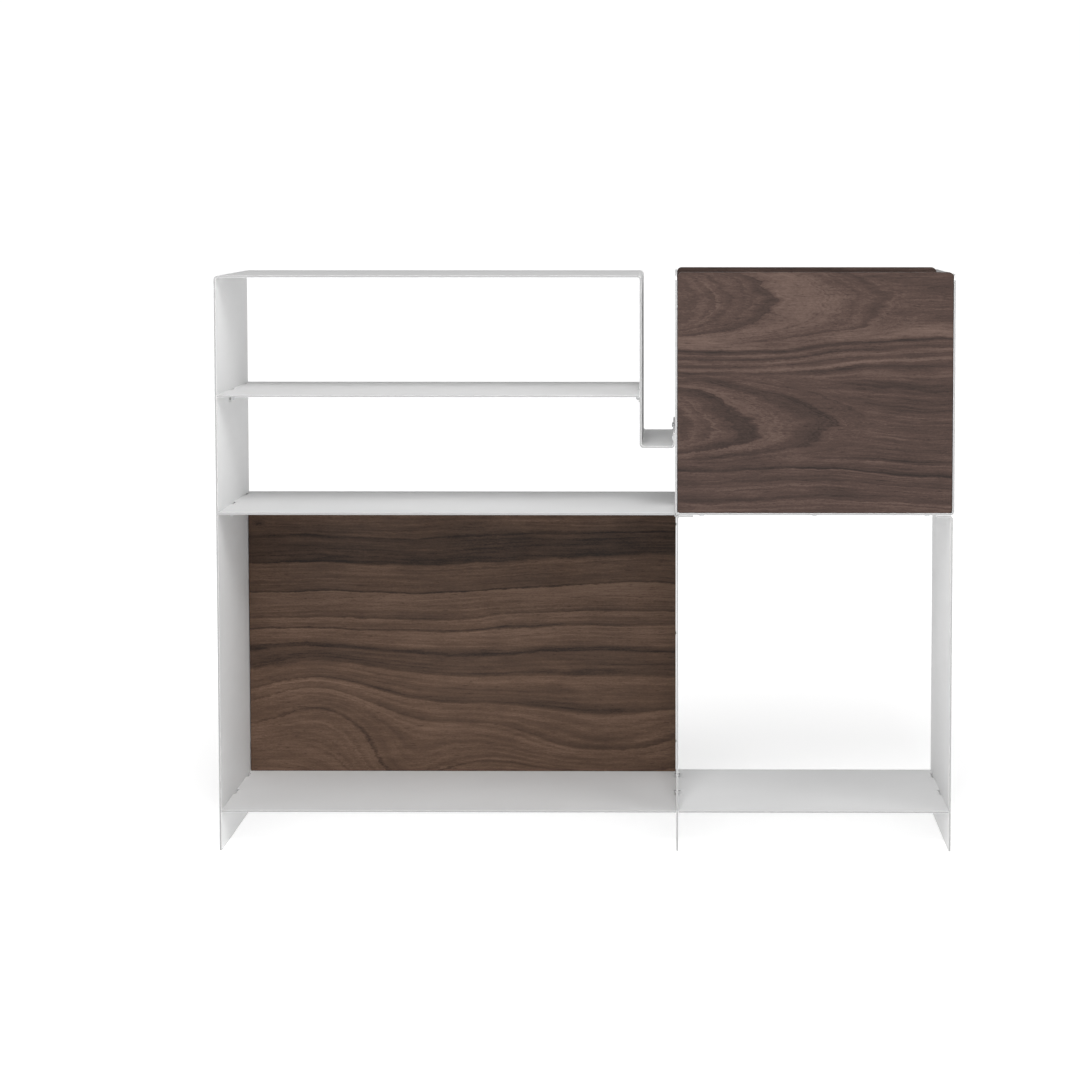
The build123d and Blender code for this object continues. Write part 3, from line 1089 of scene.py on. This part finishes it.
@dataclass
class Carcass:
    """The folded side and top, the leg panels, the shelves and the floor strips."""

    stock: Stock
    coat: Material
    nylon: Material
    ledge_top: float = 612.0 * MM
    lip: float = 23.0 * MM
    shelf_gap: float = 0.2 * MM
    strip_corner: float = 1.2 * MM
    strip_edge: float = 0.25 * MM

    def sunk(self, x: float, points: list[Vector], facing: Facing) -> list[Piece]:
        """Tools for countersunk M4 holes in the face at X."""
        return [self.stock.countersink(self.stock.m4, Vector((x, p.y, p.z)), facing) for p in points]

    def side_top_sheet(self) -> None:
        """Left panel, top shelf, drop sheet, ledge and lip, folded from one sheet."""
        stock, half = self.stock, self.stock.sheet / 2
        low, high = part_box("side_top_sheet")
        left, drop, lip = low.x + half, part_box("upper_shelf")[1].x + half, high.x - half
        top, ledge = high.z - half, self.ledge_top - half
        lip_top = self.ledge_top - stock.sheet + self.lip
        tools = []
        for node in SHELF_SCREWS:
            points = grid(node, stock.head)
            tools += self.sunk(low.x, [p for p in points if abs(p.x - low.x) < FLUSH], Facing.LEFT)
            if node == "upper_shelf_screws":
                inner = [p for p in points if abs(p.x - low.x) >= FLUSH]
                tools += self.sunk(drop + half, inner, Facing.RIGHT)
        tools += self.sunk(low.x, grid("back_panel_left_screws", stock.head), Facing.LEFT)
        for p in grid("ledge_screws", stock.head):
            tools.append(stock.drill(stock.m4, Vector((lip, p.y, p.z)), Facing.LEFT))
        points = [(left, low.z), (left, top), (drop, top), (drop, ledge), (lip, ledge), (lip, lip_top)]
        sheet = FoldedSheet("side_top_sheet_coated", stock, points, low.y, high.y, tools=tools)
        finished(sheet.build(), self.coat, Slot.STEEL, "side_top_sheet")

    def leg(self, node: str, leans_right: bool) -> None:
        """One leg panel with its folded flange and its countersunk holes."""
        half, head = self.stock.sheet / 2, self.stock.head
        low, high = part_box(node)
        if leans_right:
            side, tip, face = low.x + half, high.x, low.x + self.stock.sheet
            heads = [p for p in grid("middle_shelf_screws", head) if p.x > low.x]
            heads += grid("back_panel_right_screws", head)
        else:
            side, tip, face = high.x - half, low.x, high.x
            heads = [p for p in grid("lower_shelf_end_screws", head) if p.x > 0]
        tools = self.sunk(face, heads, Facing.RIGHT)
        points = [(side, low.z), (side, high.z - half), (tip, high.z - half)]
        sheet = FoldedSheet(f"{node}_coated", self.stock, points, low.y, high.y, tools=tools)
        finished(sheet.build(), self.coat, Slot.STEEL, node)

    def shelves(self) -> None:
        """The four tabbed shelves. The middle one stops short at the bin's side."""
        bin_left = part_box("bin_shell")[0].x
        tab_ys = sorted({round(p.y, 5) for p in grid("upper_shelf_screws", self.stock.head)})
        for node in ("upper_shelf", "middle_shelf", "lower_shelf_left", "lower_shelf_right"):
            plain = bin_left - self.shelf_gap if node == "middle_shelf" else None
            shelf = TabbedShelf(f"{node}_coated", node, self.stock, tab_ys, plain)
            finished(shelf.build(), self.coat, Slot.STEEL, node)

    def floor_strips(self) -> None:
        """Nylon strips under the three panels, with rounded ends and eased edges."""
        for node in ("left_floor_strip", "centre_floor_strip", "right_floor_strip"):
            low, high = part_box(node)
            piece = block(f"{node}_nylon", low, high)
            pick(piece, Part.EDGE, lambda at, way: abs(way.z) > ALIGNED)
            rounded(self.strip_corner, 6)
            eased(piece, self.strip_edge)
            finished(piece, self.nylon, Slot.NYLON, node)

    def build(self) -> None:
        """Build every piece of the carcass."""
        self.side_top_sheet()
        self.leg("centre_leg_panel", True)
        self.leg("right_leg_panel", False)
        self.shelves()
        self.floor_strips()


@dataclass
class Bin:
    """The bin's folded shell and its two boards."""

    stock: Stock
    coat: Material
    woods: dict[str, Material]
    side_corner: float = 10.0 * MM
    board_corners: Point = (7.0 * MM, 4.5 * MM)

    def shell(self) -> None:
        """Base and sides, folded as one U with rounded top corners."""
        stock, half = self.stock, self.stock.sheet / 2
        low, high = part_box("bin_shell")
        left, right, base = low.x + half, high.x - half, low.z + half
        m4, m5, head5 = stock.m4, stock.m5, stock.m5 * stock.head_ratio
        tools = [stock.countersink(m5, Vector((p.x, p.y, low.z + stock.sheet)), Facing.UP)
                 for p in grid("bin_mount_screws", head5, head5)]
        for node in BASE_SCREWS:
            for p in grid(node, stock.head, stock.head):
                tools.append(stock.drill(m4, Vector((p.x, p.y, base)), Facing.UP))
        for node in SIDE_SCREWS:
            for p in grid(node, stock.head):
                tools.append(stock.countersink(m4, p, Facing.LEFT if p.x < left else Facing.RIGHT))
        for p in grid("ledge_screws", stock.head):
            tools.append(stock.drill(m4, Vector((left, p.y, p.z)), Facing.LEFT))
        points = [(left, high.z), (left, base), (right, base), (right, high.z)]
        sheet = FoldedSheet("bin_shell_coated", stock, points, low.y, high.y, self.side_corner, tools)
        finished(sheet.build(), self.coat, Slot.STEEL, "bin_shell")

    def boards(self) -> None:
        """Front and rear boards."""
        for node in ("bin_front_panel", "bin_rear_panel"):
            finished(Board(node, *self.board_corners).build(), self.woods[node], Slot.WOOD, node)

    def build(self) -> None:
        """Build the bin."""
        self.shell()
        self.boards()


@dataclass
class Hardware:
    """All screws and nuts, each row copied from one pattern."""

    stock: Stock
    zinc: Material
    nut_end: float = 1.0 * MM
    board_screw: float = 28.0 * MM

    def row(self, node: str, pattern: Piece, points: list[Vector], left: Facing, right: Facing,
            x: float | None = None, z: float | None = None) -> None:
        """Copy a fastener to its places as one piece.

        Args:
            node: The CAD node that the row stands for.
            pattern: The fastener, which is thrown away afterwards.
            points: Its places.
            left: Which way those in the left half face.
            right: Which way the others face.
            x: Their place along X, where it isn't the points'.
            z: Their place along Z, where it isn't the points'.
        """
        low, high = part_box(node)
        twins = []
        for p in points:
            seat = Vector((p.x if x is None else x, p.y, p.z if z is None else z))
            twins.append(copied(pattern, placed(seat, left if p.x < (low.x + high.x) / 2 else right)))
        piece = joined(f"{node}_zinc", twins)
        bpy.data.objects.remove(pattern)
        finished(piece, self.zinc, Slot.ZINC, node)

    def flat_rows(self, makers: Fasteners) -> None:
        """Countersunk screws whose heads lie flush in the panels."""
        m4, head = self.stock.m4, self.stock.head
        through = 2 * self.stock.sheet + self.stock.nut_ratio * m4 + self.nut_end
        for node in SHELF_SCREWS:
            self.row(node, makers.screw(m4, through, True, False), grid(node, head),
                     Facing.LEFT, Facing.RIGHT)
        for node in SIDE_SCREWS:
            self.row(node, makers.screw(m4, self.board_screw, True, True), grid(node, head),
                     Facing.LEFT, Facing.RIGHT)
        for node, facing, end in (("back_panel_left_screws", Facing.LEFT, 0),
                                  ("back_panel_right_screws", Facing.RIGHT, 1)):
            self.row(node, makers.screw(m4, self.board_screw, True, True), grid(node, head), facing, facing,
                     x=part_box(node)[end].x)

    def raised_rows(self, makers: Fasteners) -> None:
        """Raised-head screws under the bin, at the ledge and at the centre leg."""
        m4, head = self.stock.m4, self.stock.head
        for node in BASE_SCREWS:
            self.row(node, makers.screw(m4, self.board_screw, False, True), grid(node, head, head),
                     Facing.DOWN, Facing.DOWN, z=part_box(node)[0].z + makers.pan_height)
        for node in ("ledge_screws", "lower_shelf_centre_screws"):
            low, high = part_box(node)
            seat = low.x + makers.pan_height
            self.row(node, makers.screw(m4, high.x - seat, False, False), grid(node, head),
                     Facing.LEFT, Facing.LEFT, x=seat)

    def bin_mounts(self, makers: Fasteners) -> None:
        """Countersunk screws from the bin's base into the leg flanges."""
        node, head = "bin_mount_screws", self.stock.m5 * self.stock.head_ratio
        low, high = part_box(node)
        self.row(node, makers.screw(self.stock.m5, high.z - low.z, True, False), grid(node, head, head),
                 Facing.UP, Facing.UP, z=high.z)

    def nuts(self, makers: Fasteners) -> None:
        """Every nut, on the far side of what its screw clamps."""
        m4, m5 = self.stock.m4, self.stock.m5
        flat, flat5 = (2 * shank * math.cos(math.pi / 6) for shank in (m4, m5))
        for node in SHELF_NUTS:
            self.row(node, makers.nut(m4), grid(node, flat), Facing.RIGHT, Facing.LEFT)
        for node in ("ledge_nuts", "lower_shelf_centre_nuts"):
            self.row(node, makers.nut(m4), grid(node, flat), Facing.RIGHT, Facing.RIGHT, x=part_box(node)[0].x)
        node = "bin_mount_nuts"
        self.row(node, makers.nut(m5), grid(node, flat5, 2 * m5), Facing.DOWN, Facing.DOWN,
                 z=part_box(node)[1].z)

    def build(self) -> None:
        """Build every fastener."""
        makers = Fasteners(self.stock)
        self.flat_rows(makers)
        self.raised_rows(makers)
        self.bin_mounts(makers)
        self.nuts(makers)


# ---- Figures of the three boards ----

BACK_WOOD = Walnut(
    name="walnut_back_board",
    node="back_panel",
    hills=(Hill(0.16, 0.72, 0.14, 0.18, 0.08), Hill(0.84, 0.98, 0.38, 0.20, -0.17),
           Hill(0.36, 1.08, 0.16, 0.20, -0.17), Hill(0.85, 0.36, 0.30, 0.20, 0.035),
           Hill(0.45, 0.30, 0.22, 0.16, -0.012), Hill(0.022, 0.10, 0.013, 0.018, 0.048)),
    bands=((0.0, 0.48), (0.10, 0.42), (0.143, 0.30), (0.150, 0.02), (0.156, 0.22), (0.238, 0.12),
           (0.243, 0.50),
           (0.342, 0.44), (0.348, 0.10), (0.352, 0.74), (0.40, 0.62), (0.441, 0.46), (0.447, 0.14),
           (0.451, 0.66),
           (0.484, 0.44), (0.490, 0.08), (0.494, 0.62),
           (0.552, 0.50), (0.562, 0.28), (0.574, 0.02), (0.580, 0.36), (0.644, 0.24), (0.647, 0.58),
           (0.716, 0.38),
           (0.722, 0.04), (0.7235, 0.62), (0.762, 0.44), (0.765, 0.10), (0.7665, 0.58), (0.834, 0.46),
           (0.838, 0.10),
           (0.8395, 0.58)),
    ring_lines=0.9,
)

FRONT_WOOD = Walnut(
    name="walnut_bin_front",
    node="bin_front_panel",
    hills=(Hill(0.25, 0.36, 0.35, 0.12, -0.03), Hill(0.95, 0.62, 0.45, 0.20, -0.08),
           Hill(0.95, 0.34, 0.55, 0.12, 0.05),
           Hill(0.55, 0.86, 0.25, 0.12, 0.025)),
    bands=((0.0, 0.50), (0.07, 0.36), (0.13, 0.46), (0.20, 0.36), (0.262, 0.86), (0.300, 0.72),
           (0.315, 0.12),
           (0.330, 0.62), (0.345, 0.26), (0.360, 0.72), (0.378, 0.30), (0.392, 0.80), (0.405, 0.24),
           (0.425, 0.60),
           (0.445, 0.20), (0.465, 0.42), (0.50, 0.28), (0.52, 0.52), (0.58, 0.38), (0.60, 0.50),
           (0.68, 0.40),
           (0.72, 0.48), (0.755, 0.20), (0.765, 0.56), (0.800, 0.40), (0.826, 0.02), (0.832, 0.56),
           (0.88, 0.34),
           (0.90, 0.56), (0.95, 0.30), (0.965, 0.58), (1.0, 0.50)),
    crowns=(
        Crown(apex=0.14, above=16.0, below=60.0, across=0.34, down=0.14, reach_across=0.56, reach_down=0.16,
              bands=((0.0, 0.56), (0.06, 0.36), (0.10, 0.64), (0.17, 0.48), (0.20, 0.28), (0.215, 0.62),
                     (0.29, 0.46),
                     (0.345, 0.16), (0.360, 0.64), (0.46, 0.80), (0.58, 0.68), (0.66, 0.50), (0.67, 0.66),
                     (0.755, 0.24), (0.77, 0.56), (1.0, 0.52))),
        Crown(apex=0.65, above=24.0, below=79.0, across=0.24, down=0.62, reach_across=0.46, reach_down=0.19,
              bands=((0.0, 0.54), (0.04, 0.34), (0.07, 0.62), (0.15, 0.54), (0.21, 0.28), (0.285, 0.16),
                     (0.30, 0.66),
                     (0.37, 0.60), (0.42, 0.46), (0.46, 0.24), (0.550, 0.14), (0.575, 0.50), (0.66, 0.44),
                     (0.70, 0.28), (0.71, 0.48), (0.80, 0.48))),
    ),
    dark=(0.013, 0.0072, 0.0056),
    middle=(0.0525, 0.0305, 0.0240),
    light=(0.121, 0.079, 0.063),
    ring_lines=1.0,
)

REAR_WOOD = Walnut(
    name="walnut_bin_rear",
    node="bin_rear_panel",
    hills=(Hill(0.30, 0.40, 0.30, 0.20, 0.06), Hill(0.75, 0.70, 0.35, 0.22, -0.09),
           Hill(0.10, 0.85, 0.25, 0.15, 0.05)),
    bands=((0.0, 0.44), (0.05, 0.30), (0.09, 0.52), (0.16, 0.36), (0.24, 0.22), (0.25, 0.58),
           (0.34, 0.42), (0.41, 0.18),
           (0.42, 0.60), (0.50, 0.44), (0.57, 0.26), (0.58, 0.56), (0.66, 0.40), (0.72, 0.14), (0.73, 0.54),
           (0.82, 0.38), (0.90, 0.24), (0.91, 0.52), (1.0, 0.44)),
    dark=(0.013, 0.0072, 0.0056),
    middle=(0.055, 0.0325, 0.0255),
    light=(0.124, 0.081, 0.065),
)


# ---- Studio ----


@dataclass
class Studio:
    """Camera, pale floor and soft light.

    A softbox is its turn and rise in degrees, its side and its power.
    """

    distance: float = 4.064
    side: float = 0.138
    height: float = 0.985
    pitch: float = math.radians(4.03)
    yaw: float = math.radians(0.39)
    lens: float = 91.35
    shift: Point = (-0.11, -0.14)
    ceiling: float = 0.2
    floor_glow: Point = (0.54, 0.84)
    floor_reach: Point = (0.6, 1.8)
    floor_size: float = 80.0
    floor_grey: Point = (0.73, 0.75)
    wall: float = 1.02
    wall_fade: Point = (0.16, 0.5)
    sensor: float = 36.0
    far: float = 200.0
    key: Softbox = (0.0, 38.0, 1.2, 100.0)
    left: Softbox = (-60.0, 28.0, 2.4, 22.0)
    right: Softbox = (54.0, 28.0, 2.4, 44.0)
    lamp_distance: float = 4.2

    def camera(self) -> None:
        """A long lens, a little above the unit's top and right of its middle."""
        low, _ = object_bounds()
        data = bpy.data.cameras.new("camera")
        data.sensor_width = self.sensor
        data.lens = self.lens
        data.shift_x, data.shift_y = self.shift
        data.clip_end = self.far
        camera = bpy.data.objects.new("camera", data)
        camera.location = (self.side, low.y - self.distance, self.height)
        camera.rotation_euler = (QUARTER_TURN - self.pitch, 0.0, self.yaw)
        bpy.context.scene.collection.objects.link(camera)
        bpy.context.scene.camera = camera

    def floor(self) -> None:
        """A pale matt floor."""
        bpy.ops.object.select_all(action="DESELECT")
        bpy.ops.mesh.primitive_plane_add(size=self.floor_size)
        floor = added("studio_floor")
        material, w, shader, place = started("pale_floor")
        grey = w.ranged(w.noise(place, 1.5, 3.0), 0.3, 0.7, *self.floor_grey)
        glow = w.ranged(w.vector("LENGTH", place), *self.floor_reach, *self.floor_glow)
        w.fill(shader.inputs, Base_Color=w.grey(grey), Roughness=0.9, Specular_IOR_Level=0.1,
               Emission_Color=WHITE, Emission_Strength=glow)
        floor.data.materials.append(material)
        floor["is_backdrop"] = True

    def world(self) -> None:
        """White walls all round under a dimmer ceiling."""
        world = bpy.data.worlds.new("studio")
        world.use_nodes = True
        w = Wiring(world.node_tree)
        background = world.node_tree.nodes["Background"]
        rise = w.parts(w.add("ShaderNodeTexCoord").outputs["Generated"])[2]
        strength = w.ranged(rise, *self.wall_fade, self.wall, self.ceiling)
        w.fill(background.inputs, Color=WHITE, Strength=strength)
        bpy.context.scene.world = world

    def lamp(self, name: str, target: Vector, turn: float, rise: float, size: float, power: float) -> None:
        """One soft square lamp.

        Args:
            name: Its name.
            target: What it points at.
            turn: Degrees from straight ahead of the unit, positive to its right.
            rise: Degrees above the target.
            size: Its side.
            power: Its power.
        """
        data = bpy.data.lights.new(name, "AREA")
        data.shape = "SQUARE"
        data.size = size
        data.energy = power
        lamp = bpy.data.objects.new(name, data)
        turn, rise = math.radians(turn), math.radians(rise)
        flat, up = self.lamp_distance * math.cos(rise), self.lamp_distance * math.sin(rise)
        away = Vector((flat * math.sin(turn), -flat * math.cos(turn), up))
        lamp.location = target + away
        lamp.rotation_euler = (-away).to_track_quat("-Z", "Y").to_euler()
        bpy.context.scene.collection.objects.link(lamp)

    def build(self) -> None:
        """Set up the studio."""
        self.camera()
        self.floor()
        self.world()
        low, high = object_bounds()
        middle = (low + high) / 2
        for name, setting in (("key_softbox", self.key), ("left_softbox", self.left),
                              ("right_softbox", self.right)):
            self.lamp(name, middle, *setting)
        bpy.context.scene.view_settings.view_transform = "Standard"


def main() -> None:
    """Load the frame, build each sub-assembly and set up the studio."""
    logging.basicConfig(level=logging.INFO, format="%(name)s: %(message)s")
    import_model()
    for make in (hill_group, crown_group, fine_ring_group, drift_group,
                 fibre_group, dust_group, speckle_group):
        make()
    stock = Stock()
    coat = PowderCoat().material()
    woods = {wood.node: wood.material() for wood in (BACK_WOOD, FRONT_WOOD, REAR_WOOD)}
    Carcass(stock, coat, Nylon().material()).build()
    Bin(stock, coat, woods).build()
    finished(Board("back_panel").build(), woods["back_panel"], Slot.WOOD, "back_panel")
    Hardware(stock, ZincPlate().material()).build()
    Studio().build()


if __name__ == "__main__":
    main()
